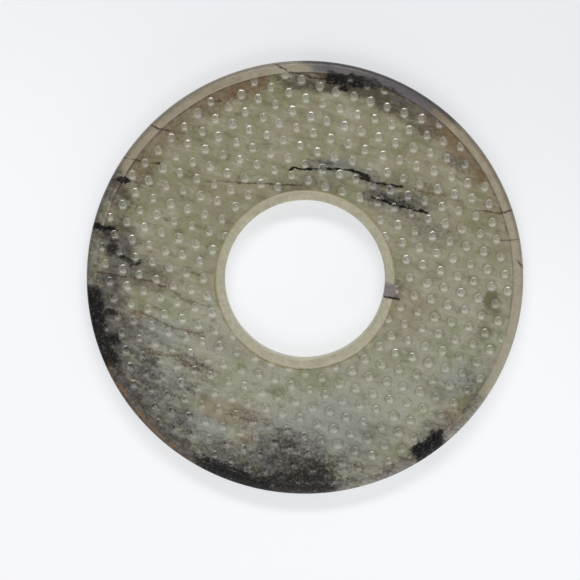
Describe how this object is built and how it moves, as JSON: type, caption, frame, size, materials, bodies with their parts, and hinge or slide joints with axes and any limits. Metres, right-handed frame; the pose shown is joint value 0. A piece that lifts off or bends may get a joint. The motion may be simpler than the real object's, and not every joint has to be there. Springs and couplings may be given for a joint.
{
  "type": "jade bi disc",
  "caption": "Flat ring of mottled grey-green jade with a round centre hole, plain raised rims and a field of small round carved grains on both faces.",
  "frame": {"origin": "middle of the underside, on the axis of the centre hole", "axes": "+Z out of the front face, through the stone's thickness; +Y towards the top of the front face as it hangs; +X to the right of the front face"},
  "size_m": [0.14, 0.14, 0.0055],
  "materials": {
    "jade": "polished grey-green nephrite, clouded with black, brown and bluish stains and fine brown cracks"
  },
  "bodies": {
    "root": {"jade_bi_disc": "jade"}
  },
  "joints": []
}
